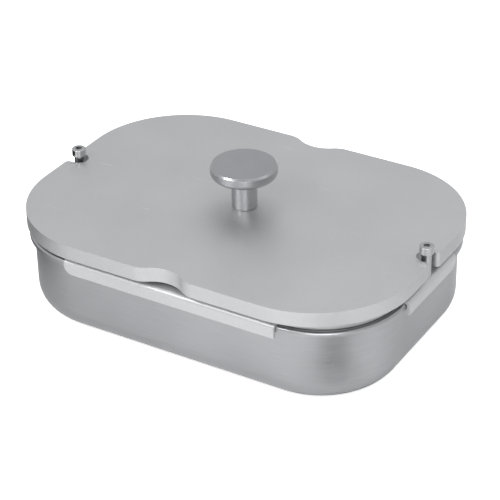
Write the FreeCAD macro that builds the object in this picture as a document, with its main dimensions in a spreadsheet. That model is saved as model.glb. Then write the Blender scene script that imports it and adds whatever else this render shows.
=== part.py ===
import FreeCAD, Part
import math
import os
import Sketcher

os.makedirs("parts", exist_ok=True)

doc = FreeCAD.newDocument("fibrin_box")

# Driving sizes in millimetres
SIZES = [
    ("tray_length", 191.4, "outside length of the tray wall at the rim"),
    ("tray_width", 132.2, "outside width of the tray wall at the rim"),
    ("tray_height", 41.2, "height of the rim above the underside"),
    ("tray_corner", 39.7, "outside corner radius of the tray wall"),
    ("tray_sheet", 1.0, "thickness of the drawn sheet"),
    ("base_round", 13.0, "outside radius between wall and base"),
    ("rim_overhang", 2.4, "reach of the turned-over rim outside the wall"),
    ("rim_depth", 3.0, "height of the turned-over rim"),
    ("rim_bend", 0.9, "bevel of the bends on top of the rim"),
    ("drain_sheet", 1.5, "thickness of the drain plate"),
    ("drain_inset", 0.5, "distance of the drain plate corners inside the tray wall"),
    ("tab_clearance", 0.3, "gap between rim and folded tab"),
    ("tab_lap", 1.0, "lap of a tab's flat part into the sheet"),
    ("tab_depth", 6.9, "height of a folded tab, sheet included"),
    ("bend_radius", 1.0, "inside bend radius of a tab"),
    ("tab_corner", 4.6, "radius on one lower corner of each tab"),
    ("long_tab_length", 112.6, "length of the front and back tabs"),
    ("short_tab_length", 48.0, "length of the left and right tabs"),
    ("drain_hole", 4.0, "width of a drain hole"),
    ("hole_pitch", 15.0, "spacing of the drain holes"),
    ("holes_along", 11, "drain holes along the length"),
    ("holes_across", 7, "drain holes across the width"),
    ("plate_overhang", 4.3, "reach of the press plate past the tray wall at each end"),
    ("plate_side_overhang", 6.4, "reach of the press plate past the tray wall at each long side"),
    ("plate_corner", 49.7, "corner radius of the press plate"),
    ("plate_thickness", 7.3, "thickness of the press plate"),
    ("plate_chamfer", 0.4, "edge break of the press plate"),
    ("scoop_depth", 5.0, "depth of a finger scoop"),
    ("scoop_width", 32.0, "width of a finger scoop"),
    ("scoop_radius", 16.0, "radius at the bottom of a finger scoop"),
    ("slot_width", 9.4, "width of an end slot"),
    ("slot_mouth", 2.0, "radius on the outer corners of an end slot"),
    ("post_offset", 0.2, "distance of a guide post's axis outside the tray wall"),
    ("post_shank", 4.8, "shank diameter of a guide post"),
    ("post_head", 6.8, "head diameter of a guide post"),
    ("post_head_height", 3.8, "height of the head of a guide post"),
    ("post_rise", 5.8, "height of a guide post above the press plate"),
    ("post_spigot", 3.2, "diameter of the riveted end of a guide post"),
    ("socket_width", 3.0, "width across flats of a hexagon socket"),
    ("socket_depth", 1.8, "depth of a hexagon socket"),
    ("press_gap", 2.8, "height of the spacer feet between the plates"),
    ("foot_pitches_along", 7, "hole pitches between the feet along the length"),
    ("foot_pitches_across", 5, "hole pitches between the feet across the width"),
    ("foot_diameter", 6.0, "diameter of a spacer foot"),
    ("foot_spigot", 3.5, "diameter of the pressed-in end of a foot"),
    ("foot_spigot_length", 3.5, "length of the pressed-in end of a foot"),
    ("knob_diameter", 32.2, "diameter of the knob cap"),
    ("knob_height", 22.2, "height of the knob"),
    ("cap_thickness", 6.2, "thickness of the knob cap"),
    ("cap_top_bevel", 0.9, "bevel on the upper edge of the cap"),
    ("cap_under_bevel", 2.0, "bevel on the lower edge of the cap"),
    ("stem_diameter", 12.3, "diameter of the knob stem"),
    ("screw_shank", 5.0, "shank diameter of the knob screw"),
    ("screw_head", 9.6, "head diameter of the knob screw"),
    ("screw_reach", 9.0, "length of the screw inside the knob"),
    ("turned_edge", 0.4, "edge break of the turned pieces"),
    ("fit_clearance", 0.02, "radial clearance of pins and screws in their holes"),
]

FULL_TURN = 360
SOCKET_SIDES = 6
# Drain holes have a few flats each, so that a plate full of them stays light
HOLE_SIDES = 8
SAME_LEVEL = 0.02
SAME_POINT = 1e-6


class Size:
    """A value in millimetres together with the sheet formula that gives it."""

    def __init__(self, value, formula):
        self.value = float(value)
        self.formula = formula

    def __add__(self, other):
        other = as_size(other)
        return Size(self.value + other.value, "(%s + %s)" % (self.formula, other.formula))

    def __sub__(self, other):
        other = as_size(other)
        return Size(self.value - other.value, "(%s - %s)" % (self.formula, other.formula))

    def __mul__(self, other):
        other = as_size(other)
        return Size(self.value * other.value, "(%s * %s)" % (self.formula, other.formula))

    def __truediv__(self, other):
        other = as_size(other)
        return Size(self.value / other.value, "(%s / %s)" % (self.formula, other.formula))

    def __neg__(self):
        return Size(-self.value, "(-1 * %s)" % self.formula)


def as_size(number):
    if isinstance(number, Size):
        return number
    return Size(number, "(%r)" % float(number))


def make_sheet():
    """Write the driving sizes into a spreadsheet and return them by name."""
    sheet = doc.addObject("Spreadsheet::Sheet", "Sizes")
    named = {}
    for row, (alias, value, meaning) in enumerate(SIZES, start=1):
        sheet.set("A%d" % row, alias)
        sheet.set("B%d" % row, str(value))
        sheet.set("C%d" % row, meaning)
        sheet.setAlias("B%d" % row, alias)
        named[alias] = Size(value, "Sizes.%s" % alias)
    doc.recompute()
    return named


size = make_sheet()
ZERO = as_size(0)

# Levels above the underside of the tray
rim_top = size["tray_height"]
drain_top = rim_top + size["drain_sheet"]
plate_bottom = drain_top + size["press_gap"]
plate_top = plate_bottom + size["plate_thickness"]
post_x = size["tray_length"] / 2 + size["post_offset"]


def bind(thing, prop, value):
    """Set a property of an object through the sheet."""
    thing.setExpression(prop, as_size(value).formula)


def new_body(label):
    body = doc.addObject("PartDesign::Body", label)
    body.Label = label
    return body


def new_sketch(body, name, role, level=ZERO):
    """Attach a sketch to an origin plane of its own body, at a level along the plane's normal."""
    plane = next(f for f in body.Origin.OriginFeatures if f.Role == role)
    sketch = body.newObject("Sketcher::SketchObject", name)
    sketch.AttachmentSupport = [(plane, "")]
    sketch.MapMode = "FlatFace"
    sketch.AttachmentOffset = FreeCAD.Placement(FreeCAD.Vector(0, 0, level.value), FreeCAD.Rotation())
    bind(sketch, "AttachmentOffset.Base.z", level)
    return sketch


def constrain(sketch, kind, *args):
    """Add a constraint whose last argument is a Size, bound to the sheet."""
    value = args[-1]
    index = sketch.addConstraint(Sketcher.Constraint(kind, *args[:-1], value.value))
    sketch.setExpression("Constraints[%d]" % index, value.formula)


def place_point(sketch, edge, end, x, y):
    """Hold a point of a sketch at a pair of coordinates."""
    for kind, axis, coordinate in (("DistanceX", -2, x), ("DistanceY", -1, y)):
        if coordinate is ZERO:
            sketch.addConstraint(Sketcher.Constraint("PointOnObject", edge, end, axis))
        else:
            constrain(sketch, kind, -1, 1, edge, end, coordinate)


def arc_through(start, end, radius, left):
    """Arc of less than half a turn between two points, with its bulge on one side."""
    chord = end - start
    middle = start + chord * 0.5
    normal = FreeCAD.Vector(-chord.y, chord.x, 0).normalize()
    if not left:
        normal = normal * -1
    sagitta = radius - math.sqrt(max(radius ** 2 - (chord.Length / 2) ** 2, 0))
    return Part.Arc(start, middle + normal * sagitta, end)


def draw_outline(sketch, steps):
    """Draw a closed outline: each step is (x, y) or (x, y, radius, bulge side) for an arc to the next."""
    count = len(steps)
    points = [FreeCAD.Vector(step[0].value, step[1].value, 0) for step in steps]
    edges = []
    for i, step in enumerate(steps):
        start = points[i]
        end = points[(i + 1) % count]
        if len(step) == 2:
            edges.append(sketch.addGeometry(Part.LineSegment(start, end)))
            continue
        arc = arc_through(start, end, step[2].value, step[3] == "left")
        edges.append(sketch.addGeometry(arc))
    ends = {}
    for i, step in enumerate(steps):
        edge = edges[i]
        if len(step) == 2:
            ends[i] = (1, 2)
            continue
        first = sketch.getPoint(edge, 1)
        ends[i] = (1, 2) if first.distanceToPoint(points[i]) < SAME_POINT else (2, 1)
    for i in range(count):
        following = (i + 1) % count
        sketch.addConstraint(Sketcher.Constraint(
            "Coincident", edges[i], ends[i][1], edges[following], ends[following][0]))
    for i, step in enumerate(steps):
        place_point(sketch, edges[i], ends[i][0], step[0], step[1])
        if len(step) == 4:
            constrain(sketch, "Radius", edges[i], step[2])


def draw_rounded_rectangle(sketch, length, width, radius):
    """Draw a rectangle with rounded corners, centred on the origin."""
    x_end = length / 2
    y_end = width / 2
    x_run = x_end - radius
    y_run = y_end - radius
    draw_outline(sketch, [
        (-x_run, -y_end),
        (x_run, -y_end, radius, "right"),
        (x_end, -y_run),
        (x_end, y_run, radius, "right"),
        (x_run, y_end),
        (-x_run, y_end, radius, "right"),
        (-x_end, y_run),
        (-x_end, -y_run, radius, "right"),
    ])


def draw_circle(sketch, x, y, diameter):
    centre = FreeCAD.Vector(x.value, y.value, 0)
    circle = sketch.addGeometry(Part.Circle(centre, FreeCAD.Vector(0, 0, 1), diameter.value / 2))
    constrain(sketch, "Radius", circle, diameter / 2)
    place_point(sketch, circle, 3, x, y)


def draw_polygon(sketch, x, y, flats, sides):
    """Draw a regular polygon by its centre, its width across flats and its number of sides."""
    corner = flats / (2 * math.cos(math.pi / sides))
    angles = [(side + 0.5) * 2 * math.pi / sides for side in range(sides)]
    draw_outline(sketch, [
        (x + corner * math.cos(angle), y + corner * math.sin(angle)) for angle in angles])


def add_feature(body, kind, name, sketch, **lengths):
    """Add a sketch-based feature and bind its lengths."""
    feature = body.newObject("PartDesign::" + kind, name)
    feature.Profile = sketch
    for prop, value in lengths.items():
        bind(feature, prop, value)
    sketch.Visibility = False
    return feature


def finish_feature(feature, grows):
    """Recompute and check that a feature adds or removes material."""
    before = feature.BaseFeature.Shape.Volume if feature.BaseFeature else 0.0
    doc.recompute()
    change = feature.Shape.Volume - before
    if grows and change <= 0:
        raise ValueError("%s adds nothing" % feature.Name)
    if not grows and change >= 0:
        raise ValueError("%s removes nothing" % feature.Name)
    return feature


def pad(body, name, sketch, length, **more):
    feature = add_feature(body, "Pad", name, sketch, Length=length)
    for prop, value in more.items():
        setattr(feature, prop, value)
    return finish_feature(feature, True)


def pocket(body, name, sketch, length, **more):
    feature = add_feature(body, "Pocket", name, sketch, Length=length)
    for prop, value in more.items():
        setattr(feature, prop, value)
    return finish_feature(feature, False)


def turn(body, name, sketch):
    """Revolve a half section about the upright axis."""
    feature = add_feature(body, "Revolution", name, sketch)
    feature.ReferenceAxis = (sketch, ["V_Axis"])
    feature.Angle = FULL_TURN
    return finish_feature(feature, True)


def turn_cut(body, name, sketch):
    """Cut a half section revolved about the upright axis."""
    feature = add_feature(body, "Groove", name, sketch)
    feature.ReferenceAxis = (sketch, ["V_Axis"])
    feature.Angle = FULL_TURN
    return finish_feature(feature, False)


def edges_where(shape, test):
    """Names of the edges whose box passes a test."""
    return ["Edge%d" % (i + 1) for i, edge in enumerate(shape.Edges) if test(edge.BoundBox)]


def faces_where(shape, test):
    """Names of the faces whose box passes a test."""
    return ["Face%d" % (i + 1) for i, face in enumerate(shape.Faces) if test(face.BoundBox)]


def near(a, b):
    return abs(a - b) < SAME_LEVEL


def round_edges(body, name, base, radius, test):
    fillet = body.newObject("PartDesign::Fillet", name)
    fillet.Base = (base, edges_where(base.Shape, test))
    bind(fillet, "Radius", radius)
    doc.recompute()
    return fillet


def break_edges(body, name, base, width, test):
    chamfer = body.newObject("PartDesign::Chamfer", name)
    chamfer.Base = (base, edges_where(base.Shape, test))
    bind(chamfer, "Size", width)
    doc.recompute()
    return chamfer


def flat_at(level):
    """Test for edges that lie flat at a level."""
    return lambda box: near(box.ZMin, level.value) and near(box.ZMax, level.value)


def make_tray():
    """Drawn tray: one sheet with a large base radius and a rim turned over outwards."""
    body = new_body("tray")
    length = size["tray_length"]
    width = size["tray_width"]
    corner = size["tray_corner"]
    sheet = size["tray_sheet"]
    overhang = size["rim_overhang"]
    rim_bottom = rim_top - size["rim_depth"]

    wall = new_sketch(body, "wall_outline", "XY_Plane")
    draw_rounded_rectangle(wall, length, width, corner)
    block = pad(body, "wall", wall, rim_top)
    drawn = round_edges(body, "base_round", block, size["base_round"], flat_at(ZERO))
    mouth = faces_where(drawn.Shape, flat_at(rim_top))
    shell = body.newObject("PartDesign::Thickness", "shell")
    shell.Base = (drawn, mouth)
    shell.Join = "Intersection"
    shell.Reversed = True
    bind(shell, "Value", sheet)
    finish_feature(shell, False)

    rim = new_sketch(body, "rim_outline", "XY_Plane", rim_bottom)
    draw_rounded_rectangle(rim, length + overhang * 2, width + overhang * 2, corner + overhang)
    draw_rounded_rectangle(rim, length - sheet, width - sheet, corner - sheet / 2)
    pad(body, "rim", rim, size["rim_depth"])

    groove = new_sketch(body, "rim_groove_outline", "XY_Plane", rim_bottom)
    reach = overhang - sheet
    draw_rounded_rectangle(groove, length + reach * 2, width + reach * 2, corner + reach)
    draw_rounded_rectangle(groove, length, width, corner)
    turned = pocket(body, "rim_groove", groove, size["rim_depth"] - sheet, Reversed=True)
    break_edges(body, "rim_bends", turned, size["rim_bend"], flat_at(rim_top))
    return body


def tab_section(sketch, half_span, side):
    """Section of a folded tab: flat, bend and leg, on one side of the sheet."""
    sheet = size["drain_sheet"]
    inner_radius = size["bend_radius"]
    outer_radius = inner_radius + sheet
    leg_inner = half_span + size["rim_overhang"] + size["tab_clearance"]
    leg_outer = leg_inner + sheet
    leg_end = drain_top - size["tab_depth"]
    root = half_span - size["drain_inset"] - size["tab_lap"]
    if side > 0:
        draw_outline(sketch, [
            (root, drain_top),
            (leg_outer - outer_radius, drain_top, outer_radius, "left"),
            (leg_outer, drain_top - outer_radius),
            (leg_outer, leg_end),
            (leg_inner, leg_end),
            (leg_inner, rim_top - inner_radius, inner_radius, "right"),
            (leg_inner - inner_radius, rim_top),
            (root, rim_top),
        ])
    else:
        draw_outline(sketch, [
            (-root, drain_top),
            (outer_radius - leg_outer, drain_top, outer_radius, "right"),
            (-leg_outer, drain_top - outer_radius),
            (-leg_outer, leg_end),
            (-leg_inner, leg_end),
            (-leg_inner, rim_top - inner_radius, inner_radius, "left"),
            (inner_radius - leg_inner, rim_top),
            (-root, rim_top),
        ])


def make_drain_plate():
    """Perforated drain plate with a folded tab on each straight side."""
    body = new_body("drain_plate")
    inset = size["drain_inset"]
    outline = new_sketch(body, "sheet_outline", "XY_Plane", rim_top)
    draw_rounded_rectangle(
        outline,
        size["tray_length"] - inset * 2,
        size["tray_width"] - inset * 2,
        size["tray_corner"] - inset)
    pad(body, "sheet", outline, size["drain_sheet"])

    for role, name, half_span, run in (
            ("YZ_Plane", "long_tabs", size["tray_width"] / 2, size["long_tab_length"]),
            ("XZ_Plane", "short_tabs", size["tray_length"] / 2, size["short_tab_length"])):
        section = new_sketch(body, name + "_section", role)
        for side in (1, -1):
            tab_section(section, half_span, side)
        folded = pad(body, name, section, run, Midplane=True)

    lower = (drain_top - size["tab_depth"]).value
    long_end = size["long_tab_length"].value / 2
    short_end = size["short_tab_length"].value / 2

    def rounded_corner(box):
        if not (near(box.ZMin, lower) and near(box.ZMax, lower)):
            return False
        if near(box.XMin, box.XMax) and near(abs(box.XMin), long_end):
            return box.XMin * box.YMin > 0
        if near(box.YMin, box.YMax) and near(abs(box.YMin), short_end):
            return box.XMin * box.YMin > 0
        return False

    folded = round_edges(body, "tab_corners", folded, size["tab_corner"], rounded_corner)

    first_x = -size["hole_pitch"] * (size["holes_along"] - 1) / 2
    first_y = -size["hole_pitch"] * (size["holes_across"] - 1) / 2
    first = new_sketch(body, "drain_hole_outline", "XY_Plane", drain_top)
    draw_polygon(first, first_x, first_y, size["drain_hole"], HOLE_SIDES)
    hole = pocket(body, "drain_hole_first", first, size["drain_sheet"])
    hole.Type = "ThroughAll"
    grid = body.newObject("PartDesign::MultiTransform", "drain_holes")
    grid.Originals = [hole]
    steps = []
    for axis, count in (("H_Axis", "holes_along"), ("V_Axis", "holes_across")):
        row = body.newObject("PartDesign::LinearPattern", "row_" + count)
        row.Direction = (first, [axis])
        bind(row, "Length", size["hole_pitch"] * (size[count] - 1))
        bind(row, "Occurrences", size[count])
        steps.append(row)
    grid.Transformations = steps
    body.Tip = grid
    doc.recompute()

    rivets = new_sketch(body, "rivet_holes_outline", "XY_Plane", drain_top)
    for x in (post_x, -post_x):
        draw_circle(rivets, x, ZERO, size["post_spigot"] + size["fit_clearance"] * 2)
    pocket(body, "rivet_holes", rivets, size["drain_sheet"] * 2)
    return body


def make_guide_post(label, x):
    """Turned post: riveted end, shank, and a cylindrical head with a hexagon socket."""
    body = new_body(label)
    top = plate_top + size["post_rise"]
    head_bottom = top - size["post_head_height"]
    head = size["post_head"] / 2
    shank = size["post_shank"] / 2
    spigot = size["post_spigot"] / 2
    edge = size["turned_edge"]
    section = new_sketch(body, label + "_section", "XZ_Plane")
    draw_outline(section, [
        (ZERO, rim_top + size["fit_clearance"]),
        (spigot, rim_top + size["fit_clearance"]),
        (spigot, drain_top),
        (shank, drain_top),
        (shank, head_bottom),
        (head - edge, head_bottom),
        (head, head_bottom + edge),
        (head, top - edge),
        (head - edge, top),
        (ZERO, top),
    ])
    turn(body, label + "_turning", section)
    socket = new_sketch(body, label + "_socket_outline", "XY_Plane", top)
    draw_polygon(socket, ZERO, ZERO, size["socket_width"], SOCKET_SIDES)
    pocket(body, label + "_socket", socket, size["socket_depth"])
    bind(body, "Placement.Base.x", x)
    return body


def make_press_plate():
    """Thick plate with two finger scoops and two open end slots."""
    body = new_body("press_plate")
    x_end = size["tray_length"] / 2 + size["plate_overhang"]
    y_end = size["tray_width"] / 2 + size["plate_side_overhang"]
    corner = size["plate_corner"]
    x_run = x_end - corner
    y_run = y_end - corner
    slot = size["slot_width"] / 2
    mouth = size["slot_mouth"]
    depth = size["scoop_depth"]
    reach = size["scoop_width"] / 2
    hollow = size["scoop_radius"]
    both = (reach * reach + depth * depth) / (depth * 2)
    shoulder = both - hollow
    turn_x = reach * hollow / both
    turn_y = y_end - depth + hollow * depth / both

    front_half = [
        (-reach, -y_end, shoulder, "right"),
        (-turn_x, -turn_y, hollow, "left"),
        (turn_x, -turn_y, shoulder, "right"),
        (reach, -y_end),
        (x_run, -y_end, corner, "right"),
        (x_end, -y_run),
        (x_end, -slot - mouth, mouth, "right"),
        (x_end - mouth, -slot),
        (post_x, -slot, slot, "left"),
        (post_x - slot, ZERO, slot, "left"),
        (post_x, slot),
        (x_end - mouth, slot, mouth, "right"),
        (x_end, slot + mouth),
        (x_end, y_run, corner, "right"),
        (x_run, y_end),
    ]
    back_half = []
    for step in front_half:
        x = step[0] if step[0] is ZERO else -step[0]
        y = step[1] if step[1] is ZERO else -step[1]
        back_half.append((x, y) + step[2:])
    outline = new_sketch(body, "plate_outline", "XY_Plane", plate_bottom)
    draw_outline(outline, front_half + back_half)
    block = pad(body, "plate", outline, size["plate_thickness"])

    def outer_edges(box):
        return flat_at(plate_bottom)(box) or flat_at(plate_top)(box)

    break_edges(body, "edge_break", block, size["plate_chamfer"], outer_edges)

    clearance = size["fit_clearance"]
    cone = (size["screw_head"] - size["screw_shank"]) / 2
    through = size["screw_shank"] / 2 + clearance
    bore = new_sketch(body, "screw_hole_section", "XZ_Plane")
    draw_outline(bore, [
        (ZERO, plate_bottom),
        (through + cone, plate_bottom),
        (through, plate_bottom + cone),
        (through, plate_top),
        (ZERO, plate_top),
    ])
    turn_cut(body, "screw_hole", bore)

    seats = new_sketch(body, "foot_holes_outline", "XY_Plane", plate_bottom)
    for x, y in foot_places():
        draw_circle(seats, x, y, size["foot_spigot"] + clearance * 2)
    pocket(body, "foot_holes", seats, size["foot_spigot_length"] + clearance, Reversed=True)
    return body


def foot_places():
    """The feet stand between drain holes, near the corners of the hole field."""
    x = size["hole_pitch"] * size["foot_pitches_along"] / 2
    y = size["hole_pitch"] * size["foot_pitches_across"] / 2
    return [(x, y), (-x, y), (-x, -y), (x, -y)]


def make_spacer_foot(label, x, y):
    """Turned foot pressed into the underside of the press plate."""
    body = new_body(label)
    foot = size["foot_diameter"] / 2
    spigot = size["foot_spigot"] / 2
    edge = size["turned_edge"]
    section = new_sketch(body, label + "_section", "XZ_Plane")
    draw_outline(section, [
        (ZERO, drain_top),
        (foot - edge, drain_top),
        (foot, drain_top + edge),
        (foot, plate_bottom),
        (spigot, plate_bottom),
        (spigot, plate_bottom + size["foot_spigot_length"]),
        (ZERO, plate_bottom + size["foot_spigot_length"]),
    ])
    turn(body, label + "_turning", section)
    bind(body, "Placement.Base.x", x)
    bind(body, "Placement.Base.y", y)
    return body


def make_knob():
    """Turned mushroom knob with a blind hole for its screw."""
    body = new_body("knob")
    top = plate_top + size["knob_height"]
    under = top - size["cap_thickness"]
    cap = size["knob_diameter"] / 2
    stem = size["stem_diameter"] / 2
    bore = size["screw_shank"] / 2 + size["fit_clearance"]
    edge = size["turned_edge"]
    bore_top = plate_top + size["screw_reach"] + edge
    upper = size["cap_top_bevel"]
    lower = size["cap_under_bevel"]
    section = new_sketch(body, "knob_section", "XZ_Plane")
    draw_outline(section, [
        (bore, plate_top),
        (stem - edge, plate_top),
        (stem, plate_top + edge),
        (stem, under),
        (cap - lower, under),
        (cap, under + lower),
        (cap, top - upper),
        (cap - upper, top),
        (ZERO, top),
        (ZERO, bore_top + bore),
        (bore, bore_top),
    ])
    turn(body, "knob_turning", section)
    return body


def make_knob_screw():
    """Countersunk screw that holds the knob from below."""
    body = new_body("knob_screw")
    shank = size["screw_shank"] / 2
    cone = (size["screw_head"] - size["screw_shank"]) / 2
    edge = size["turned_edge"]
    tip = plate_top + size["screw_reach"]
    section = new_sketch(body, "screw_section", "XZ_Plane")
    draw_outline(section, [
        (ZERO, plate_bottom),
        (shank + cone, plate_bottom),
        (shank, plate_bottom + cone),
        (shank, tip - edge),
        (shank - edge, tip),
        (ZERO, tip),
    ])
    turn(body, "screw_turning", section)
    socket = new_sketch(body, "screw_socket_outline", "XY_Plane", plate_bottom)
    draw_polygon(socket, ZERO, ZERO, size["socket_width"], SOCKET_SIDES)
    pocket(body, "screw_socket", socket, size["socket_depth"], Reversed=True)
    return body


def make_parts():
    bodies = [make_tray(), make_drain_plate(), make_press_plate(), make_knob(), make_knob_screw()]
    for side, x in (("left", -post_x), ("right", post_x)):
        bodies.append(make_guide_post("guide_post_" + side, x))
    for number, (x, y) in enumerate(foot_places(), start=1):
        bodies.append(make_spacer_foot("spacer_foot_%d" % number, x, y))
    return bodies


parts = make_parts()
doc.recompute()

for item in doc.Objects:
    if "Invalid" in item.State or "Error" in item.State:
        raise ValueError("%s is %s" % (item.Name, item.State))
for part in parts:
    shape = part.Shape
    if shape.isNull() or not shape.isValid() or len(shape.Solids) != 1:
        raise ValueError("%s has no valid solid" % part.Label)
    shape.exportStep("parts/%s.step" % part.Label)
    print(part.Label, "volume", round(shape.Volume, 1), "faces", len(shape.Faces))
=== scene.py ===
import math

import bmesh
import bpy
from mathutils import Matrix, Vector


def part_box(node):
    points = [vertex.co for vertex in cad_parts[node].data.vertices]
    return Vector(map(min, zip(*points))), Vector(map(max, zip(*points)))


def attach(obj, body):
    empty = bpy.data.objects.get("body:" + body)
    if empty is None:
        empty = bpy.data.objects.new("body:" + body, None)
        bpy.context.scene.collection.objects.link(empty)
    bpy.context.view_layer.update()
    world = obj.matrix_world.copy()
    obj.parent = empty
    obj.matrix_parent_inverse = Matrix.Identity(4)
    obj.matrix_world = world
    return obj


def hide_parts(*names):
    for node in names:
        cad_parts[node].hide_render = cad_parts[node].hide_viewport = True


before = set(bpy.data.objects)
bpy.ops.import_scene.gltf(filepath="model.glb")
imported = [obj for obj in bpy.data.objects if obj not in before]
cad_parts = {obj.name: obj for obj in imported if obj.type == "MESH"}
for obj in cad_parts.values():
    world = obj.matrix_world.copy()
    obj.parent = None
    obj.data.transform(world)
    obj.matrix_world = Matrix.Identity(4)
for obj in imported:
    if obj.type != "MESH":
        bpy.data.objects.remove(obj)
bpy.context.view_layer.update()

MM = 0.001

# Places of the pieces, read from the frame
tray_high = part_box("tray")[1]
drain_low, drain_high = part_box("drain_plate")
plate_low, plate_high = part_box("press_plate")
knob_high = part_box("knob")[1]
post_low, post_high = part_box("guide_post_right")
foot_low, foot_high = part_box("spacer_foot_1")

# Tray: a drawn sheet with its rim turned over
RIM_TOP = tray_high.z
RIM_OVERHANG = 2.4 * MM
RIM_DEPTH = 3.0 * MM
RIM_ROUND = 1.5 * MM
LIP_ROUND = 0.45 * MM
LIP_BEND = 0.5 * MM
WALL_BEND = 0.6 * MM
WALL_X = tray_high.x - RIM_OVERHANG
WALL_Y = tray_high.y - RIM_OVERHANG
WALL_CORNER = 39.7 * MM
TRAY_SHEET = 1.0 * MM
BASE_ROUND = 13.0 * MM
FLAT_START = 30.0 * MM

# Drain plate: a perforated sheet with four folded tabs
DRAIN_TOP = drain_high.z
DRAIN_SHEET = 1.5 * MM
DRAIN_INSET = 0.5 * MM
BEND_OUTSIDE = 2.5 * MM
LONG_TAB = 112.6 * MM
SHORT_TAB = 48.0 * MM
TAB_CORNER = 4.6 * MM
TAB_RELIEF = 0.5 * MM
TAB_STEPS = 8
BEND_STEPS = 8
SHEET_EDGE = 0.15 * MM
HOLE_WIDTH = 4.0 * MM
HOLE_PITCH = 15.0 * MM
HOLES_ALONG = 11
HOLES_ACROSS = 7
PUNCH_SIDES = 32
PUNCH_LENGTH = 6.0 * MM

# Press plate
PLATE_BOTTOM = plate_low.z
PLATE_TOP = plate_high.z
PLATE_X = plate_high.x
PLATE_Y = plate_high.y
PLATE_CORNER = 49.7 * MM
PLATE_EDGE = 0.45 * MM
SCOOP_DEPTH = 5.0 * MM
SCOOP_REACH = 16.0 * MM
SCOOP_RADIUS = 16.0 * MM
SLOT_HALF = 4.7 * MM
SLOT_MOUTH = 2.0 * MM
SCOOP_STEPS = 24
SHOULDER_STEPS = 12
MOUTH_STEPS = 8

# Guide posts
POST_X = (post_low.x + post_high.x) / 2
POST_TOP = post_high.z
POST_HEAD = 3.4 * MM
POST_HEAD_HEIGHT = 3.8 * MM
POST_SHANK = 2.4 * MM
POST_SPIGOT = 1.6 * MM
POST_SPIGOT_EDGE = 0.1 * MM
POST_NECK = 0.25 * MM
POST_HEAD_UNDER = 0.35 * MM
POST_HEAD_EDGE = 0.4 * MM
POST_PLACES = (("left", -POST_X), ("right", POST_X))
SOCKET_FLATS = 3.0 * MM
SOCKET_DEPTH = 1.8 * MM
SOCKET_LAND = 0.3 * MM

# Knob and its screw
KNOB_TOP = knob_high.z
CAP_RADIUS = knob_high.x
CAP_THICKNESS = 6.2 * MM
CAP_BEVEL = 0.9 * MM
CAP_UNDER_ROUND = 2.8 * MM
STEM_RADIUS = 6.15 * MM
STEM_FOOT = 0.4 * MM
STEM_NECK = 0.8 * MM
BORE_SPARE = 0.4 * MM
SCREW_SHANK = 2.5 * MM
SCREW_HEAD = 4.8 * MM
SCREW_REACH = 9.0 * MM
SCREW_TIP = 0.4 * MM
SCREW_NECK = 0.2 * MM
SCREW_RIM = 0.15 * MM
SCREW_RIM_BAND = 0.25 * MM

# Spacer feet
FOOT_X = (foot_low.x + foot_high.x) / 2
FOOT_Y = (foot_low.y + foot_high.y) / 2
FOOT_RADIUS = 3.0 * MM
FOOT_SPIGOT = 1.75 * MM
FOOT_SPIGOT_TOP = foot_high.z
FOOT_EDGE = 0.5 * MM
FOOT_SPIGOT_EDGE = 0.2 * MM

# Fineness of the meshes
SOFT_EDGE = 0.2 * MM
PIN_GAP = 0.02 * MM
TURNED_STEPS = 96
CORNER_STEPS = 28
ROUND_STEPS = 6
LARGE_ROUND = 5.0 * MM
LARGE_ROUND_STEPS = 24
CIRCLE_STEPS = 48
WELD = 1e-7
ON_AXIS = 1e-9
SMOOTH_BELOW = math.radians(38)
EASED_ABOVE = math.radians(60)


def put(tree, kind, inputs=None, **settings):
    """Add a node to a tree. Inputs are values, or sockets to link."""
    node = tree.nodes.new(kind)
    for name, value in settings.items():
        setattr(node, name, value)
    for name, value in (inputs or {}).items():
        if isinstance(value, bpy.types.NodeSocket):
            tree.links.new(value, node.inputs[name])
        else:
            node.inputs[name].default_value = value
    return node


def new_group(name, inputs, outputs, kind="ShaderNodeTree"):
    """Start a node group: its sockets are (name, type, default) and (name, type)."""
    group = bpy.data.node_groups.new(name, kind)
    for title, socket_type, default in inputs:
        socket = group.interface.new_socket(title, in_out="INPUT", socket_type=socket_type)
        if default is not None:
            socket.default_value = default
    for title, socket_type in outputs:
        group.interface.new_socket(title, in_out="OUTPUT", socket_type=socket_type)
    start = group.nodes.new("NodeGroupInput").outputs
    end = group.nodes.new("NodeGroupOutput").inputs
    return group, start, end


def make_grain_group():
    """Fine grain of a metal surface, drawn out in one direction or even: a mask and a height."""
    group, start, end = new_group(
        "metal_grain",
        [("Place", "NodeSocketVector", None), ("Grain", "NodeSocketVector", (1000.0, 1000.0, 1000.0)),
         ("Contrast", "NodeSocketFloat", 1.0)],
        [("Mask", "NodeSocketFloat"), ("Height", "NodeSocketFloat")])
    scaled = put(group, "ShaderNodeVectorMath",
                 {0: start["Place"], 1: start["Grain"]}, operation="MULTIPLY")
    noise = put(group, "ShaderNodeTexNoise",
                {"Vector": scaled.outputs[0], "Scale": 1.0, "Detail": 3.0, "Roughness": 0.6})
    centred = put(group, "ShaderNodeMath", {0: noise.outputs["Fac"], 1: 0.5}, operation="SUBTRACT")
    spread = put(group, "ShaderNodeMath",
                 {0: centred.outputs[0], 1: start["Contrast"]}, operation="MULTIPLY")
    mask = put(group, "ShaderNodeMath", {0: spread.outputs[0], 1: 0.5}, operation="ADD", use_clamp=True)
    group.links.new(mask.outputs[0], end["Mask"])
    group.links.new(noise.outputs["Fac"], end["Height"])
    return group


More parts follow.
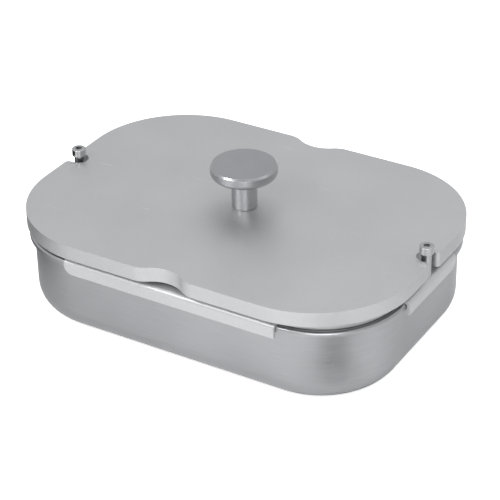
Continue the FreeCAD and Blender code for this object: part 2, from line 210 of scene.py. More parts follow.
def make_cloud_group():
    """Slow variation of a surface from handling and washing, as a mask."""
    group, start, end = new_group(
        "handled_cloud",
        [("Place", "NodeSocketVector", None), ("Size", "NodeSocketFloat", 30.0)],
        [("Mask", "NodeSocketFloat")])
    noise = put(group, "ShaderNodeTexNoise",
                {"Vector": start["Place"], "Scale": start["Size"], "Detail": 2.0, "Roughness": 0.45})
    spread = put(group, "ShaderNodeMapRange",
                 {"Value": noise.outputs["Fac"], "From Min": 0.3, "From Max": 0.7})
    group.links.new(spread.outputs["Result"], end["Mask"])
    return group


def make_scratch_group():
    """Sparse hairline scratches, as a mask."""
    group, start, end = new_group(
        "hairlines",
        [("Place", "NodeSocketVector", None), ("Stretch", "NodeSocketVector", (40.0, 900.0, 900.0)),
         ("Share", "NodeSocketFloat", 0.3)],
        [("Mask", "NodeSocketFloat")])
    scaled = put(group, "ShaderNodeVectorMath",
                 {0: start["Place"], 1: start["Stretch"]}, operation="MULTIPLY")
    noise = put(group, "ShaderNodeTexNoise",
                {"Vector": scaled.outputs[0], "Scale": 1.0, "Detail": 1.0, "Distortion": 0.4})
    peak = 0.8
    onset = put(group, "ShaderNodeMath", {0: peak, 1: start["Share"]}, operation="SUBTRACT")
    line = put(group, "ShaderNodeMapRange",
               {"Value": noise.outputs["Fac"], "From Min": onset.outputs[0], "From Max": peak})
    group.links.new(line.outputs["Result"], end["Mask"])
    return group


def make_turning_group():
    """Fine rings left by the lathe, round an upright axis: a mask and a height."""
    group, start, end = new_group(
        "turning_rings",
        [("Place", "NodeSocketVector", None), ("Rings", "NodeSocketFloat", 2500.0)],
        [("Mask", "NodeSocketFloat"), ("Height", "NodeSocketFloat")])
    split = put(group, "ShaderNodeSeparateXYZ", {0: start["Place"]})
    flat = put(group, "ShaderNodeCombineXYZ", {"X": split.outputs["X"], "Y": split.outputs["Y"]})
    radius = put(group, "ShaderNodeVectorMath", {0: flat.outputs[0]}, operation="LENGTH")
    section = put(group, "ShaderNodeCombineXYZ",
                  {"X": radius.outputs["Value"], "Y": split.outputs["Z"]})
    noise = put(group, "ShaderNodeTexNoise",
                {"Vector": section.outputs[0], "Scale": start["Rings"], "Detail": 2.0})
    group.links.new(noise.outputs["Fac"], end["Mask"])
    group.links.new(noise.outputs["Fac"], end["Height"])
    return group


GRAIN = make_grain_group()
CLOUD = make_cloud_group()
HAIRLINES = make_scratch_group()
RINGS = make_turning_group()


def use_group(tree, group, inputs):
    """Place a shader group in a material and give its outputs."""
    return put(tree, "ShaderNodeGroup", inputs, node_tree=group).outputs


def blend_colours(tree, mask, dark, light):
    """Blend two colours by a mask. Each of the three is a value or a socket."""
    dark, light = (
        value if isinstance(value, bpy.types.NodeSocket) else (*value, 1.0) for value in (dark, light))
    return put(tree, "ShaderNodeMix", {0: mask, 6: dark, 7: light}, data_type="RGBA").outputs[2]


def blend_values(tree, mask, low, high):
    """Spread a mask between two values."""
    spread = put(tree, "ShaderNodeMapRange", {"Value": mask, "To Min": low, "To Max": high})
    return spread.outputs["Result"]


def bare_material(name):
    """Material whose node tree is still empty."""
    material = bpy.data.materials.new(name)
    material.use_nodes = True
    material.node_tree.nodes.clear()
    return material, material.node_tree


def start_material(name, centre=(0, 0, 0)):
    """Material with its object coordinates measured from a centre."""
    material, tree = bare_material(name)
    coordinates = put(tree, "ShaderNodeTexCoord").outputs["Object"]
    place = put(tree, "ShaderNodeMapping",
                {"Vector": coordinates, "Location": (-centre[0], -centre[1], -centre[2])}).outputs[0]
    return material, tree, place


def finish_material(tree, colour, roughness, height, relief, metallic=1.0):
    """Close a material with its shader and a bump from a height."""
    bump = put(tree, "ShaderNodeBump", {"Height": height, "Strength": 1.0, "Distance": relief})
    shader = put(tree, "ShaderNodeBsdfPrincipled", {
        "Base Color": colour, "Roughness": roughness, "Metallic": metallic, "Normal": bump.outputs[0]})
    put(tree, "ShaderNodeOutputMaterial", {"Surface": shader.outputs[0]})


def make_blasted_material():
    """Bead-blasted plate: even fine speckle, slightly cloudy, with a few hairlines."""
    material, tree, place = start_material("blasted_plate")
    grain = use_group(tree, GRAIN, {"Place": place, "Grain": (1500.0, 1500.0, 1500.0), "Contrast": 1.6})
    cloud = use_group(tree, CLOUD, {"Place": place, "Size": 26.0})
    lines = use_group(tree, HAIRLINES, {"Place": place, "Stretch": (45.0, 1100.0, 1100.0), "Share": 0.04})
    speckle = blend_colours(tree, grain["Mask"], (0.51, 0.516, 0.518), (0.65, 0.656, 0.658))
    clouded = blend_colours(tree, cloud["Mask"], (0.55, 0.556, 0.558), (0.61, 0.616, 0.618))
    even = blend_colours(tree, 0.5, speckle, clouded)
    colour = blend_colours(tree, lines["Mask"], even, (0.70, 0.70, 0.71))
    roughness = blend_values(tree, grain["Mask"], 0.44, 0.56)
    finish_material(tree, colour, roughness, grain["Height"], 0.00004)
    return material


def make_brushed_material(name, dark, light, smooth, rough, grain_size, relief, metallic=1.0):
    """Sheet steel with a fine grain drawn out along its sides."""
    material, tree, place = start_material(name)
    grain = use_group(tree, GRAIN, {"Place": place, "Grain": grain_size, "Contrast": 1.8})
    cloud = use_group(tree, CLOUD, {"Place": place, "Size": 22.0})
    lines = use_group(tree, HAIRLINES, {"Place": place, "Stretch": (30.0, 30.0, 1400.0), "Share": 0.12})
    grained = blend_colours(tree, grain["Mask"], dark, light)
    washed = blend_colours(tree, cloud["Mask"], dark, light)
    even = blend_colours(tree, 0.5, grained, washed)
    colour = blend_colours(tree, lines["Mask"], even, light)
    roughness = blend_values(tree, grain["Mask"], smooth, rough)
    finish_material(tree, colour, roughness, grain["Height"], relief, metallic)
    return material


def make_turned_material(name, centre, dark, light, smooth, rough):
    """Turned steel with fine rings round its own axis."""
    material, tree, place = start_material(name, centre)
    rings = use_group(tree, RINGS, {"Place": place, "Rings": 2600.0})
    cloud = use_group(tree, CLOUD, {"Place": place, "Size": 60.0})
    ringed = blend_colours(tree, rings["Mask"], dark, light)
    clouded = blend_colours(tree, cloud["Mask"], dark, light)
    colour = blend_colours(tree, 0.4, ringed, clouded)
    roughness = blend_values(tree, rings["Mask"], smooth, rough)
    finish_material(tree, colour, roughness, rings["Height"], 0.00001)
    return material


blasted = make_blasted_material()
tray_steel = make_brushed_material(
    "tray_steel", dark=(0.345, 0.35, 0.36), light=(0.455, 0.46, 0.47),
    smooth=0.26, rough=0.38, grain_size=(60.0, 60.0, 1800.0), relief=0.00002)
drain_steel = make_brushed_material(
    "drain_steel", dark=(0.46, 0.465, 0.47), light=(0.57, 0.575, 0.58),
    smooth=0.34, rough=0.46, grain_size=(900.0, 900.0, 1500.0), relief=0.00002, metallic=0.42)
foot_steel = make_brushed_material(
    "foot_steel", dark=(0.58, 0.58, 0.585), light=(0.72, 0.72, 0.725),
    smooth=0.20, rough=0.32, grain_size=(300.0, 300.0, 2500.0), relief=0.00001)
knob_steel = make_turned_material(
    "knob_steel", centre=(0, 0, 0), dark=(0.38, 0.385, 0.395), light=(0.46, 0.465, 0.475),
    smooth=0.22, rough=0.30)
screw_steel = make_turned_material(
    "screw_steel", centre=(0, 0, 0), dark=(0.60, 0.60, 0.605), light=(0.74, 0.74, 0.745),
    smooth=0.18, rough=0.30)
post_steel = {
    side: make_turned_material(
        "post_steel_" + side, centre=(x, 0, 0), dark=(0.40, 0.402, 0.41), light=(0.54, 0.542, 0.55),
        smooth=0.12, rough=0.24)
    for side, x in POST_PLACES}


def arc_points(centre, radius, start, end, steps):
    """Points on an arc, both ends included; angles in radians."""
    turn = end - start
    return [(centre[0] + radius * math.cos(start + turn * i / steps),
             centre[1] + radius * math.sin(start + turn * i / steps)) for i in range(steps + 1)]


def soften(corners):
    """Round the corners of an open section line; a corner is (across, up, radius)."""
    points = []
    for i, (across, up, radius) in enumerate(corners):
        here = Vector((across, up))
        if radius == 0 or i in (0, len(corners) - 1):
            points.append((across, up))
            continue
        back = (Vector(corners[i - 1][:2]) - here).normalized()
        ahead = (Vector(corners[i + 1][:2]) - here).normalized()
        half = back.angle(ahead) / 2
        run = radius / math.tan(half)
        centre = here + (back + ahead).normalized() * (radius / math.sin(half))
        first = here + back * run - centre
        last = here + ahead * run - centre
        count = LARGE_ROUND_STEPS if radius > LARGE_ROUND else ROUND_STEPS
        turn = first.angle_signed(last)
        for k in range(count + 1):
            spoke = first.copy()
            spoke.rotate(Matrix.Rotation(-turn * k / count, 2))
            points.append(tuple(centre + spoke))
    return points


def rounded_rectangle(half_x, half_y, radius):
    """Ring of points round a rectangle with rounded corners, counter-clockwise from the front."""
    ring = []
    for quarter, (sign_x, sign_y) in enumerate(((1, -1), (1, 1), (-1, 1), (-1, -1))):
        centre = (sign_x * (half_x - radius), sign_y * (half_y - radius))
        start = (quarter - 1) * math.pi / 2
        ring += arc_points(centre, radius, start, start + math.pi / 2, CORNER_STEPS)
    return ring


def bridge(shape, rings):
    """Faces between rings of equal length."""
    for lower, upper in zip(rings, rings[1:]):
        for i in range(len(lower)):
            j = (i + 1) % len(lower)
            shape.faces.new((lower[i], lower[j], upper[j], upper[i]))


def mesh_from(name, shape):
    """Turn a bmesh into an object with smooth rounds and sharp edges."""
    bmesh.ops.remove_doubles(shape, verts=shape.verts, dist=WELD)
    bmesh.ops.recalc_face_normals(shape, faces=shape.faces)
    mesh = bpy.data.meshes.new(name)
    shape.to_mesh(mesh)
    shape.free()
    piece = bpy.data.objects.new(name, mesh)
    bpy.context.scene.collection.objects.link(piece)
    shade(mesh)
    return piece


def shade(mesh):
    """Smooth faces, with the sharp edges kept."""
    for face in mesh.polygons:
        face.use_smooth = True
    mesh.set_sharp_from_angle(angle=SMOOTH_BELOW)


def bake_modifiers(piece):
    """Turn a piece with its modifiers into a plain mesh."""
    evaluated = piece.evaluated_get(bpy.context.evaluated_depsgraph_get())
    mesh = bpy.data.meshes.new_from_object(evaluated)
    piece.modifiers.clear()
    piece.data = mesh
    shade(mesh)
    return piece


def dress(piece, material, body, slot, *nodes):
    """Give a piece its material and its body, and hide the nodes that it stands for."""
    piece.data.materials.clear()
    piece.data.materials.append(material)
    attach(piece, body)
    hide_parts(*nodes)


def ease_edges(piece, width, segments):
    """Bevel the sharp edges of a piece, as a plain mesh."""
    easing = piece.modifiers.new("eased_edges", "BEVEL")
    easing.width = width
    easing.segments = segments
    easing.limit_method = "ANGLE"
    easing.angle_limit = EASED_ABOVE
    bake_modifiers(piece)


def weigh_normals(piece):
    """Keep flat faces even beside their rounds."""
    normals = piece.modifiers.new("even_faces", "WEIGHTED_NORMAL")
    normals.keep_sharp = True


def turned_shape(section, x=0.0):
    """Lathe a section of (radius, height) points round an upright axis at x."""
    shape = bmesh.new()
    rings = []
    for radius, height in section:
        if radius < ON_AXIS:
            rings.append([shape.verts.new((x, 0, height))])
            continue
        rings.append([
            shape.verts.new((x + radius * math.cos(angle), radius * math.sin(angle), height))
            for angle in (2 * math.pi * i / TURNED_STEPS for i in range(TURNED_STEPS))])
    for lower, upper in zip(rings, rings[1:]):
        if len(lower) == len(upper):
            bridge(shape, (lower, upper))
            continue
        tip, ring = (lower[0], upper) if len(lower) == 1 else (upper[0], lower)
        for i in range(TURNED_STEPS):
            shape.faces.new((ring[i], ring[(i + 1) % TURNED_STEPS], tip))
    return shape


def make_tray():
    """Drawn tray: one section swept round the rounded rectangle of the wall."""
    section = soften([
        (-FLAT_START, 0, 0),
        (0, 0, BASE_ROUND),
        (0, RIM_TOP - TRAY_SHEET, WALL_BEND),
        (RIM_OVERHANG - TRAY_SHEET, RIM_TOP - TRAY_SHEET, LIP_BEND),
        (RIM_OVERHANG - TRAY_SHEET, RIM_TOP - RIM_DEPTH, LIP_ROUND),
        (RIM_OVERHANG, RIM_TOP - RIM_DEPTH, LIP_ROUND),
        (RIM_OVERHANG, RIM_TOP, RIM_ROUND),
        (-TRAY_SHEET, RIM_TOP, RIM_ROUND),
        (-TRAY_SHEET, TRAY_SHEET, BASE_ROUND - TRAY_SHEET),
        (-FLAT_START, TRAY_SHEET, 0),
    ])
    shape = bmesh.new()
    rings = []
    for offset, height in section:
        ring = rounded_rectangle(WALL_X + offset, WALL_Y + offset, WALL_CORNER + offset)
        rings.append([shape.verts.new((x, y, height)) for x, y in ring])
    bridge(shape, rings)
    shape.faces.new(rings[0])
    shape.faces.new(rings[-1])
    piece = mesh_from("drawn_tray", shape)
    weigh_normals(piece)
    dress(piece, tray_steel, "tray", "tray_steel", "tray")


def plate_outline():
    """Outline of the press plate: corners, finger scoops and end slots."""
    radius_sum = (SCOOP_REACH ** 2 + SCOOP_DEPTH ** 2) / (2 * SCOOP_DEPTH)
    shoulder = radius_sum - SCOOP_RADIUS
    lean = math.atan2(radius_sum - SCOOP_DEPTH, SCOOP_REACH)
    quarter = math.pi / 2
    shoulder_y = -PLATE_Y + shoulder
    half = arc_points((-SCOOP_REACH, shoulder_y), shoulder, -quarter, -lean, SHOULDER_STEPS)
    half += arc_points((0, -PLATE_Y + SCOOP_DEPTH - SCOOP_RADIUS), SCOOP_RADIUS,
                       math.pi - lean, lean, SCOOP_STEPS)[1:]
    half += arc_points((SCOOP_REACH, shoulder_y), shoulder, lean - math.pi, -quarter, SHOULDER_STEPS)[1:]
    corner_x = PLATE_X - PLATE_CORNER
    corner_y = PLATE_Y - PLATE_CORNER
    half += arc_points((corner_x, -corner_y), PLATE_CORNER, -quarter, 0, 2 * CORNER_STEPS)
    mouth_x = PLATE_X - SLOT_MOUTH
    mouth_y = SLOT_HALF + SLOT_MOUTH
    half += arc_points((mouth_x, -mouth_y), SLOT_MOUTH, 0, quarter, MOUTH_STEPS)
    half += arc_points((POST_X, 0), SLOT_HALF, -quarter, -3 * quarter, CORNER_STEPS)
    half += arc_points((mouth_x, mouth_y), SLOT_MOUTH, -quarter, 0, MOUTH_STEPS)
    half += arc_points((corner_x, corner_y), PLATE_CORNER, 0, quarter, 2 * CORNER_STEPS)
    return half + [(-x, -y) for x, y in half]


def circle(x, y, radius):
    """Ring of points round a centre, counter-clockwise."""
    angles = [2 * math.pi * i / CIRCLE_STEPS for i in range(CIRCLE_STEPS)]
    return [(x + radius * math.cos(angle), y + radius * math.sin(angle)) for angle in angles]


def fill_between(shape, loops):
    """Flat face with holes between closed loops of vertices."""
    edges = []
    for loop in loops:
        for i in range(len(loop)):
            pair = (loop[i], loop[(i + 1) % len(loop)])
            edges.append(shape.edges.get(pair) or shape.edges.new(pair))
    bmesh.ops.triangle_fill(shape, edges=edges, use_beauty=True, use_dissolve=False)


def make_press_plate():
    """Thick plate with eased edges, a countersunk hole and four foot holes in its underside."""
    shape = bmesh.new()
    outline = plate_outline()
    low = [shape.verts.new((x, y, PLATE_BOTTOM)) for x, y in outline]
    high = [shape.verts.new((x, y, PLATE_TOP)) for x, y in outline]
    bridge(shape, (low, high))

    hole = SCREW_SHANK + PIN_GAP
    sink = SCREW_HEAD + PIN_GAP
    levels = ((sink, PLATE_BOTTOM), (hole, PLATE_BOTTOM + sink - hole), (hole, PLATE_TOP))
    bore = [[shape.verts.new((x, y, z)) for x, y in circle(0, 0, radius)] for radius, z in levels]
    bridge(shape, bore)

    low_loops = [low, bore[0]]
    for x, y in ((FOOT_X, FOOT_Y), (-FOOT_X, FOOT_Y), (-FOOT_X, -FOOT_Y), (FOOT_X, -FOOT_Y)):
        seat = circle(x, y, FOOT_SPIGOT + PIN_GAP)
        mouth = [shape.verts.new((a, b, PLATE_BOTTOM)) for a, b in seat]
        depth = [shape.verts.new((a, b, FOOT_SPIGOT_TOP + PIN_GAP)) for a, b in seat]
        bridge(shape, (mouth, depth))
        shape.faces.new(depth)
        low_loops.append(mouth)
    fill_between(shape, low_loops)
    fill_between(shape, [high, bore[-1]])

    piece = mesh_from("satin_press_plate", shape)
    ease_edges(piece, PLATE_EDGE, segments=3)
    weigh_normals(piece)
    dress(piece, blasted, "lid", "blasted_steel", "press_plate")


def tab_columns(length):
    """Places along a tab, from its square end to its rounded one, with the rise of its lower edge."""
    square = -length / 2
    bend_start = length / 2 - TAB_CORNER
    columns = [(square + (bend_start - square) * i / TAB_STEPS, 0.0) for i in range(TAB_STEPS + 1)]
    for i in range(1, TAB_STEPS + 1):
        angle = math.pi / 2 * i / TAB_STEPS
        columns.append((bend_start + TAB_CORNER * math.sin(angle), TAB_CORNER * (1 - math.cos(angle))))
    return columns


def make_drain_sheet():
    """Top surface of the drain plate with its four folded tabs, before it gets its thickness."""
    shape = bmesh.new()
    half_x = WALL_X - DRAIN_INSET
    half_y = WALL_Y - DRAIN_INSET
    corner = WALL_CORNER - DRAIN_INSET
    leg_x = drain_high.x
    leg_y = drain_high.y
    leg_end = drain_low.z
    outline = []
    for quarter, (half_span, leg, length) in enumerate((
            (half_y, leg_y, LONG_TAB), (half_x, leg_x, SHORT_TAB),
            (half_y, leg_y, LONG_TAB), (half_x, leg_x, SHORT_TAB))):
        turn = Matrix.Rotation(quarter * math.pi / 2, 3, "Z")
        long_side = quarter % 2 == 0
        strips = []
        for along, rise in sorted((-s, rise) for s, rise in tab_columns(length)):
            along = along if long_side else -along
            line = [(half_span, DRAIN_TOP)]
            line += arc_points((leg - BEND_OUTSIDE, DRAIN_TOP - BEND_OUTSIDE), BEND_OUTSIDE,
                               math.pi / 2, 0, BEND_STEPS)
            line.append((leg, leg_end + rise))
            strips.append([shape.verts.new(turn @ Vector((along, -out, up))) for out, up in line])
        strips.sort(key=lambda strip: (turn.inverted() @ strip[0].co).x)
        for one, other in zip(strips, strips[1:]):
            for k in range(len(one) - 1):
                shape.faces.new((one[k], one[k + 1], other[k + 1], other[k]))
        outline += [strip[0] for strip in strips]
        spans = (half_x, half_y) if long_side else (half_y, half_x)
        centre = (spans[0] - corner, corner - spans[1])
        past_this = (LONG_TAB if long_side else SHORT_TAB) / 2 + TAB_RELIEF
        before_next = -(SHORT_TAB if long_side else LONG_TAB) / 2 - TAB_RELIEF
        for x, y in arc_points(centre, corner, -math.pi / 2, 0, CORNER_STEPS):
            if x > past_this and y < before_next:
                outline.append(shape.verts.new(turn @ Vector((x, y, DRAIN_TOP))))
    fill_between(shape, [outline])
    return mesh_from("folded_drain_plate", shape)


def make_perforation_tree(material):
    """Geometry nodes that punch a grid of round holes and the two post holes through a flat sheet."""
    tree, start, end = new_group(
        "punched_holes",
        [("Geometry", "NodeSocketGeometry", None), ("Hole width", "NodeSocketFloat", HOLE_WIDTH),
         ("Pitch", "NodeSocketFloat", HOLE_PITCH), ("Holes along", "NodeSocketInt", HOLES_ALONG),
         ("Holes across", "NodeSocketInt", HOLES_ACROSS), ("Sheet level", "NodeSocketFloat", DRAIN_TOP),
         ("Post hole width", "NodeSocketFloat", 2 * POST_SPIGOT), ("Post place", "NodeSocketFloat", POST_X)],
        [("Geometry", "NodeSocketGeometry")], kind="GeometryNodeTree")

    def extent(count):
        gaps = put(tree, "ShaderNodeMath", {0: start[count], 1: 1.0}, operation="SUBTRACT")
        return put(tree, "ShaderNodeMath", {0: gaps.outputs[0], 1: start["Pitch"]}, operation="MULTIPLY")

    def punch(width):
        radius = put(tree, "ShaderNodeMath", {0: start[width], 1: 0.5}, operation="MULTIPLY")
        return put(tree, "GeometryNodeMeshCylinder",
                   {"Vertices": PUNCH_SIDES, "Radius": radius.outputs[0], "Depth": PUNCH_LENGTH})

    level = put(tree, "ShaderNodeCombineXYZ", {"Z": start["Sheet level"]})
    grid = put(tree, "GeometryNodeMeshGrid", {
        "Size X": extent("Holes along").outputs[0], "Size Y": extent("Holes across").outputs[0],
        "Vertices X": start["Holes along"], "Vertices Y": start["Holes across"]})
    drain = put(tree, "GeometryNodeInstanceOnPoints",
                {"Points": grid.outputs["Mesh"], "Instance": punch("Hole width").outputs["Mesh"]})

    back = put(tree, "ShaderNodeMath", {0: start["Post place"], 1: -1.0}, operation="MULTIPLY")
    first = put(tree, "ShaderNodeCombineXYZ", {"X": back.outputs[0]})
    last = put(tree, "ShaderNodeCombineXYZ", {"X": start["Post place"]})
    pair = put(tree, "GeometryNodeMeshLine",
               {"Count": 2, "Start Location": first.outputs[0], "Offset": last.outputs[0]},
               mode="END_POINTS")
    posts = put(tree, "GeometryNodeInstanceOnPoints",
                {"Points": pair.outputs["Mesh"], "Instance": punch("Post hole width").outputs["Mesh"]})

    punches = put(tree, "GeometryNodeJoinGeometry")
    for group in (drain, posts):
        tree.links.new(group.outputs["Instances"], punches.inputs[0])
    placed = put(tree, "GeometryNodeTransform",
                 {"Geometry": punches.outputs[0], "Translation": level.outputs[0]})
    solid = put(tree, "GeometryNodeRealizeInstances", {0: placed.outputs[0]})
    cut = put(tree, "GeometryNodeMeshBoolean",
              {"Mesh 1": start["Geometry"], "Mesh 2": solid.outputs[0]},
              operation="DIFFERENCE", solver="EXACT")
    real = put(tree, "GeometryNodeRealizeInstances", {0: cut.outputs["Mesh"]})
    painted = put(tree, "GeometryNodeSetMaterial", {"Geometry": real.outputs[0], "Material": material})
    tree.links.new(painted.outputs[0], end["Geometry"])
    return tree


def set_tree_inputs(modifier, values):
    """Set a geometry nodes modifier's inputs by their identifiers."""
    for item in modifier.node_group.interface.items_tree:
        if item.item_type == "SOCKET" and item.in_out == "INPUT" and item.name in values:
            modifier[item.identifier] = values[item.name]


def make_drain_plate():
    """Folded sheet with its thickness, then punched."""
    piece = make_drain_sheet()
    thick = piece.modifiers.new("sheet", "SOLIDIFY")
    thick.thickness = DRAIN_SHEET
    thick.offset = -1.0
    thick.use_even_offset = True
    holes = piece.modifiers.new("punched", "NODES")
    holes.node_group = make_perforation_tree(drain_steel)
    set_tree_inputs(holes, {
        "Hole width": HOLE_WIDTH, "Pitch": HOLE_PITCH,
        "Holes along": HOLES_ALONG, "Holes across": HOLES_ACROSS,
        "Sheet level": DRAIN_TOP - DRAIN_SHEET / 2,
        "Post hole width": 2 * (POST_SPIGOT + PIN_GAP), "Post place": POST_X})
    bake_modifiers(piece)
    ease_edges(piece, SHEET_EDGE, segments=1)
    weigh_normals(piece)
    dress(piece, drain_steel, "drain", "drain_steel", "drain_plate")


def hexagon(x, y, flats):
    """Corners of a hexagon by its width across flats."""
    corner = flats / math.sqrt(3)
    angles = [math.pi / 3 * (i + 0.5) for i in range(6)]
    return [(x + corner * math.cos(angle), y + corner * math.sin(angle)) for angle in angles]


def sink_socket(shape, rim, x, top, flats, depth):
    """Close a turned top with a hexagon socket, inside its last ring."""
    mouth = [shape.verts.new((a, b, top)) for a, b in hexagon(x, 0, flats)]
    floor_ring = [shape.verts.new((a, b, top - depth)) for a, b in hexagon(x, 0, flats)]
    fill_between(shape, [rim, mouth])
    bridge(shape, (mouth, floor_ring))
    shape.faces.new(floor_ring)


def ring_at(shape, x, radius, height):
    """Vertices of a turned ring, in order round the axis."""
    found = [v for v in shape.verts
             if abs(v.co.z - height) < WELD and abs(math.hypot(v.co.x - x, v.co.y) - radius) < WELD]
    return sorted(found, key=lambda v: math.atan2(v.co.y, v.co.x - x))


def make_guide_post(side, x):
    """Turned post with a shank, a cylindrical head and a hexagon socket."""
    head_bottom = POST_TOP - POST_HEAD_HEIGHT
    section = soften([
        (0, post_low.z, 0),
        (POST_SPIGOT, post_low.z, POST_SPIGOT_EDGE),
        (POST_SPIGOT, DRAIN_TOP, 0),
        (POST_SHANK, DRAIN_TOP, 0),
        (POST_SHANK, head_bottom, POST_NECK),
        (POST_HEAD, head_bottom, POST_HEAD_UNDER),
        (POST_HEAD, POST_TOP, POST_HEAD_EDGE),
        (POST_HEAD - POST_HEAD_EDGE - SOCKET_LAND, POST_TOP, 0),
    ])
    shape = turned_shape(section, x)
    top_radius = section[-1][0]
    sink_socket(shape, ring_at(shape, x, top_radius, POST_TOP), x, POST_TOP, SOCKET_FLATS, SOCKET_DEPTH)
    piece = mesh_from("turned_guide_post_" + side, shape)
    weigh_normals(piece)
    dress(piece, post_steel[side], "drain", "bright_steel", "guide_post_" + side)


def make_knob():
    """Turned knob: stem, cap with a bevelled upper edge and a rounded underside."""
    cap_bottom = KNOB_TOP - CAP_THICKNESS
    bore = SCREW_SHANK + PIN_GAP
    bore_top = PLATE_TOP + SCREW_REACH + BORE_SPARE
    section = soften([
        (0, bore_top + bore, 0),
        (bore, bore_top, 0),
        (bore, PLATE_TOP, 0),
        (STEM_RADIUS, PLATE_TOP, STEM_FOOT),
        (STEM_RADIUS, cap_bottom, STEM_NECK),
        (CAP_RADIUS, cap_bottom, CAP_UNDER_ROUND),
        (CAP_RADIUS, KNOB_TOP - CAP_BEVEL, SOFT_EDGE),
        (CAP_RADIUS - CAP_BEVEL, KNOB_TOP, SOFT_EDGE),
        (0, KNOB_TOP, 0),
    ])
    piece = mesh_from("turned_knob", turned_shape(section))
    weigh_normals(piece)
    dress(piece, knob_steel, "lid", "turned_steel", "knob")


def make_knob_screw():
    """Countersunk screw, seen from below with its hexagon socket."""
    tip = PLATE_TOP + SCREW_REACH
    section = soften([
        (0, tip, 0),
        (SCREW_SHANK, tip, SCREW_TIP),
        (SCREW_SHANK, PLATE_BOTTOM + SCREW_HEAD - SCREW_SHANK, SCREW_NECK),
        (SCREW_HEAD, PLATE_BOTTOM, SCREW_RIM),
        (SCREW_HEAD - SCREW_RIM_BAND - SOCKET_LAND, PLATE_BOTTOM, 0),
    ])
    shape = turned_shape(section)
    rim_ring = ring_at(shape, 0, section[-1][0], PLATE_BOTTOM)
    sink_socket(shape, rim_ring, 0, PLATE_BOTTOM, SOCKET_FLATS, -SOCKET_DEPTH)
    piece = mesh_from("countersunk_knob_screw", shape)
    weigh_normals(piece)
    dress(piece, screw_steel, "lid", "bright_steel", "knob_screw")


def make_feet_tree(material):
    """Geometry nodes that stand one turned foot on each corner of a rectangle."""
    tree, start, end = new_group(
        "feet_on_corners",
        [("Geometry", "NodeSocketGeometry", None), ("Span along", "NodeSocketFloat", 2 * abs(FOOT_X)),
         ("Span across", "NodeSocketFloat", 2 * abs(FOOT_Y))],
        [("Geometry", "NodeSocketGeometry")], kind="GeometryNodeTree")
    corners = put(tree, "GeometryNodeMeshGrid", {
        "Size X": start["Span along"], "Size Y": start["Span across"], "Vertices X": 2, "Vertices Y": 2})
    feet = put(tree, "GeometryNodeInstanceOnPoints",
               {"Points": corners.outputs["Mesh"], "Instance": start["Geometry"]})
    real = put(tree, "GeometryNodeRealizeInstances", {0: feet.outputs["Instances"]})
    painted = put(tree, "GeometryNodeSetMaterial", {"Geometry": real.outputs[0], "Material": material})
    tree.links.new(painted.outputs[0], end["Geometry"])
    return tree


def make_feet():
    """Four turned feet, pressed into the underside of the press plate."""
    section = soften([
        (0, foot_low.z, 0),
        (FOOT_RADIUS, foot_low.z, FOOT_EDGE),
        (FOOT_RADIUS, PLATE_BOTTOM, 0),
        (FOOT_SPIGOT, PLATE_BOTTOM, 0),
        (FOOT_SPIGOT, FOOT_SPIGOT_TOP, FOOT_SPIGOT_EDGE),
        (0, FOOT_SPIGOT_TOP, 0),
    ])
    piece = mesh_from("pressed_in_feet", turned_shape(section))
    standing = piece.modifiers.new("standing", "NODES")
    standing.node_group = make_feet_tree(foot_steel)
    set_tree_inputs(standing, {"Span along": 2 * abs(FOOT_X), "Span across": 2 * abs(FOOT_Y)})
    bake_modifiers(piece)
    weigh_normals(piece)
    dress(piece, foot_steel, "lid", "bright_steel", *["spacer_foot_%d" % n for n in range(1, 5)])


make_tray()
make_drain_plate()
make_press_plate()
make_knob()
make_knob_screw()
make_feet()
for side, x in POST_PLACES:
    make_guide_post(side, x)


# Camera, above the front right corner of the box
FOCAL = 135.0
SENSOR = 36.0
AZIMUTH = math.radians(31.41)
ELEVATION = math.radians(31.34)
ROLL = math.radians(-1.12)
DISTANCE = 905.77 * MM
TARGET = Vector((0, 0, 25.0 * MM))
SHIFT_X = 0.0087
SHIFT_Y = 0.0097
CLIP_START = 10.0 * MM


def make_camera():
    """Long lens that looks down at the box, turned a little about its own axis."""
    back = Vector((math.sin(AZIMUTH) * math.cos(ELEVATION),
                   -math.cos(AZIMUTH) * math.cos(ELEVATION),
                   math.sin(ELEVATION)))
    right = Vector((math.cos(AZIMUTH), math.sin(AZIMUTH), 0))
    up = back.cross(right)
    turned = Matrix((right, up, back)).transposed().to_4x4() @ Matrix.Rotation(ROLL, 4, "Z")
    data = bpy.data.cameras.new("camera")
    data.lens = FOCAL
    data.sensor_width = SENSOR
    data.shift_x = SHIFT_X
    data.shift_y = SHIFT_Y
    data.clip_start = CLIP_START
    camera = bpy.data.objects.new("camera", data)
    camera.matrix_world = Matrix.Translation(TARGET + back * DISTANCE) @ turned
    bpy.context.scene.collection.objects.link(camera)
    bpy.context.scene.camera = camera


FLOOR_REACH = 3.0
FLOOR_DROP = 0.1 * MM
CARD_RISE = 0.5 * MM
LIGHT_AIM = Vector((0, 0, 30.0 * MM))


def flat_square(name, reach, height):
    """Level square at a height, reaching as far on each side of its middle."""
    shape = bmesh.new()
    corners = ((-reach, -reach), (reach, -reach), (reach, reach), (-reach, reach))
    shape.faces.new([shape.verts.new((x, y, height)) for x, y in corners])
    mesh = bpy.data.meshes.new(name)
    shape.to_mesh(mesh)
    shape.free()
    square = bpy.data.objects.new(name, mesh)
    bpy.context.scene.collection.objects.link(square)
    return square


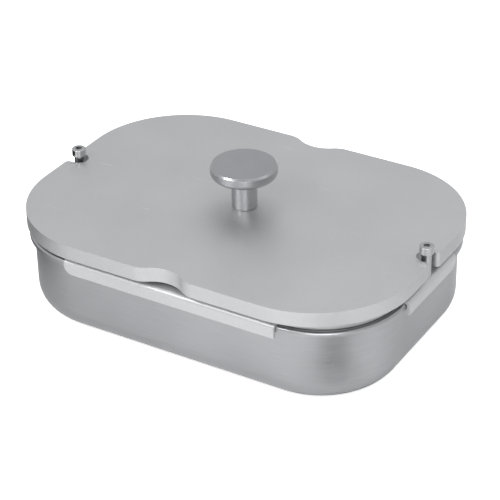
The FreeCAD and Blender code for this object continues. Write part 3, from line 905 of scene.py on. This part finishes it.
def make_floor():
    """Plain pale floor."""
    floor = flat_square("floor", FLOOR_REACH, -FLOOR_DROP)
    material, tree = bare_material("pale_floor")
    paper = put(tree, "ShaderNodeBsdfDiffuse", {"Color": (0.97, 0.97, 0.97, 1)})
    lit_paper = put(tree, "ShaderNodeEmission", {"Color": (1, 1, 1, 1), "Strength": 0.62})
    seen = put(tree, "ShaderNodeAddShader", {0: paper.outputs[0], 1: lit_paper.outputs[0]})
    path = put(tree, "ShaderNodeLightPath")
    floor_look = put(tree, "ShaderNodeMixShader", {
        0: path.outputs["Is Camera Ray"], 1: paper.outputs[0], 2: seen.outputs[0]})
    put(tree, "ShaderNodeOutputMaterial", {"Surface": floor_look.outputs[0]})
    floor.data.materials.append(material)


def make_cloth(name, grey):
    """Matt cloth that fades out towards the card's edge."""
    cloth, tree = bare_material(name)
    place = put(tree, "ShaderNodeTexCoord").outputs["Object"]
    fade = put(tree, "ShaderNodeTexGradient", {"Vector": place}, gradient_type="QUADRATIC_SPHERE")
    shown = put(tree, "ShaderNodeMath",
                {0: fade.outputs["Fac"], 1: 1.6}, operation="MULTIPLY", use_clamp=True)
    matt = put(tree, "ShaderNodeBsdfDiffuse", {"Color": (grey, grey, grey, 1)})
    clear = put(tree, "ShaderNodeBsdfTransparent", {"Color": (1, 1, 1, 1)})
    faded = put(tree, "ShaderNodeMixShader",
                {0: shown.outputs[0], 1: clear.outputs[0], 2: matt.outputs[0]})
    put(tree, "ShaderNodeOutputMaterial", {"Surface": faded.outputs[0]})
    return cloth


def add_card(name, x, y, half_x, half_y, turn, grey):
    """Soft-edged card on the floor that only the bright steel mirrors."""
    card = flat_square(name, 1.0, 0.0)
    card.location = (x, y, CARD_RISE)
    card.rotation_euler = (0, 0, turn)
    card.scale = (half_x, half_y, 1)
    card.visible_camera = False
    card.visible_diffuse = False
    card.visible_shadow = False
    card.data.materials.append(make_cloth(name, grey))


def make_cards():
    """Grey cards at the left and at the right, and a small one before the right front corner."""
    add_card("left_card", x=-0.20, y=-0.06, half_x=0.20, half_y=0.28, turn=0, grey=0.03)
    add_card("right_card", x=0.24, y=0.14, half_x=0.20, half_y=0.28, turn=0, grey=0.46)
    add_card("corner_card", x=0.114, y=-0.089, half_x=0.055, half_y=0.060, turn=math.radians(46), grey=0.42)


def add_softbox(name, place, width, height, power):
    """Rectangular area light that looks at the box."""
    data = bpy.data.lights.new(name, "AREA")
    data.shape = "RECTANGLE"
    data.size = width
    data.size_y = height
    data.energy = power
    light = bpy.data.objects.new(name, data)
    facing = (Vector(place) - LIGHT_AIM).to_track_quat("Z", "Y")
    light.matrix_world = Matrix.Translation(place) @ facing.to_matrix().to_4x4()
    bpy.context.scene.collection.objects.link(light)


def make_light():
    """Soft studio light: an even room, a large box overhead, and one at each side of the front."""
    world = bpy.data.worlds.new("studio")
    bpy.context.scene.world = world
    world.use_nodes = True
    background = world.node_tree.nodes["Background"]
    background.inputs["Color"].default_value = (0.97, 0.98, 1.0, 1)
    background.inputs["Strength"].default_value = 0.71
    add_softbox("overhead", place=(0.25, 0.40, 1.3), width=1.4, height=1.4, power=3.7)
    add_softbox("front_left", place=(-0.30, -0.58, 0.66), width=0.42, height=0.12, power=2.7)
    add_softbox("front_right", place=(0.50, -0.76, 0.50), width=0.6, height=0.5, power=2.9)


make_camera()
make_floor()
make_cards()
make_light()
bpy.context.scene.view_settings.view_transform = "Standard"
bpy.context.scene.view_settings.look = "None"
